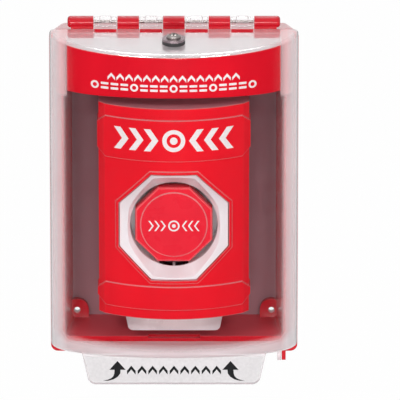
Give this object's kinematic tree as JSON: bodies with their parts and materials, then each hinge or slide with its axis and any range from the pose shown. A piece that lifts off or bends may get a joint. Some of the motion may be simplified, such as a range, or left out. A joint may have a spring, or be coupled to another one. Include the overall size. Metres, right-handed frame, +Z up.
{
  "type": "push button station with lift-up cover",
  "caption": "Red wall station with an eight-sided push button that slides in and turns to reset, under a clear hinged cover with a red hood, a battery sounder and a lift tab",
  "frame": {"origin": "the wall plane at the middle of the mounting frame", "axes": "+X to the right, +Y into the wall, +Z up; the front faces -Y"},
  "size_m": [0.144, 0.074, 0.2128],
  "materials": {
    "red_gloss": "gloss",
    "red_station": "gloss",
    "red_button": "gloss",
    "red_hood": "satin",
    "backing_grey": "satin",
    "box_white": "satin",
    "dish_white": "satin",
    "clear_plastic": "gloss",
    "sounder_white": "satin",
    "black_plastic": "matte",
    "switch_grey": "matte",
    "steel": "bright",
    "zinc_steel": "satin",
    "spring_steel": "satin",
    "turned_aluminium": "satin",
    "cell_metal": "satin",
    "brass": "satin",
    "magnet": "satin",
    "board_green": "satin",
    "reed_glass": "gloss",
    "rubber": "matte",
    "label_grey": "satin"
  },
  "bodies": {
    "station": {"mounting_frame": "red_gloss", "back_plate": "backing_grey", "back_box": "box_white", "box_screws": "steel", "yoke_plate": "zinc_steel", "yoke_screws": "steel", "station_housing": "red_station", "housing_screws": "steel", "octagon_bezel": "dish_white", "contact_holder": "black_plastic", "holder_screws": "steel", "contact_block_left": "switch_grey", "contact_block_right": "switch_grey", "terminal_screws": "brass", "hinge_pin": "steel", "sensor_magnet": "magnet"},
    "plunger": {"plunger": "turned_aluminium", "return_spring": "spring_steel"},
    "button": {"button_cap": "red_button"},
    "cover": {"dome_cover": "clear_plastic", "label_hood": "red_hood", "sounder_housing": "sounder_white", "sounder_plate": "sounder_white", "sounder_disc": "black_plastic", "circuit_board": "board_green", "battery_cell": "cell_metal", "battery_clips": "zinc_steel", "reed_switch": "reed_glass", "cover_screw": "steel", "steel_washer": "zinc_steel", "rubber_washer": "rubber", "pull_label": "label_grey"}
  },
  "joints": [
    {"name": "button_push", "type": "slide", "parent": "station", "child": "plunger", "axis": [0, 1, 0], "range_m": [0, 0.005], "stiffness_N_per_m": 900, "springref_m": -0.002, "deforming": ["return_spring"]},
    {"name": "button_turn", "type": "hinge", "parent": "plunger", "child": "button", "pos_m": [0, -0.05, -0.0122], "axis": [0, 1, 0], "range_deg": [0, 35], "stiffness_Nm_per_rad": 0.02},
    {"name": "cover_hinge", "type": "hinge", "parent": "station", "child": "cover", "pos_m": [0, -0.027, 0.1013], "axis": [-1, 0, 0], "range_deg": [0, 110]}
  ]
}
